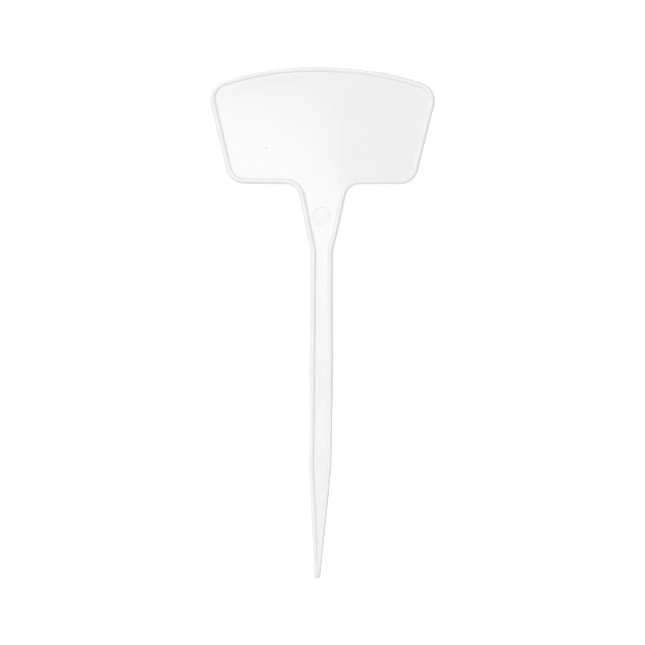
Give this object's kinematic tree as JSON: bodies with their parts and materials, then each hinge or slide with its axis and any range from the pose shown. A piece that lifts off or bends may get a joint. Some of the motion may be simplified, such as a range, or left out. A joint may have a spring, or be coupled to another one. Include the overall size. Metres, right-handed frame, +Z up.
{
  "type": "plant label stake",
  "caption": "T-shaped moulded plant label: a wide bow-topped writing panel with a raised round edge bead, a tapering neck and a long slim stem that ends in a blunt point.",
  "frame": {"origin": "tip of the point, midway across the width and the thickness", "axes": "+Z up the stake towards the head, -Y out of the front face, X across the width"},
  "size_m": [0.11, 0.0028, 0.25],
  "materials": {
    "white_plastic": "satin as moulded, white polypropylene"
  },
  "bodies": {
    "root": {"writing_panel": "white_plastic", "panel_rim": "white_plastic", "neck_web": "white_plastic", "stem_web": "white_plastic", "left_edge_rib": "white_plastic", "right_edge_rib": "white_plastic", "point": "white_plastic"}
  },
  "joints": []
}
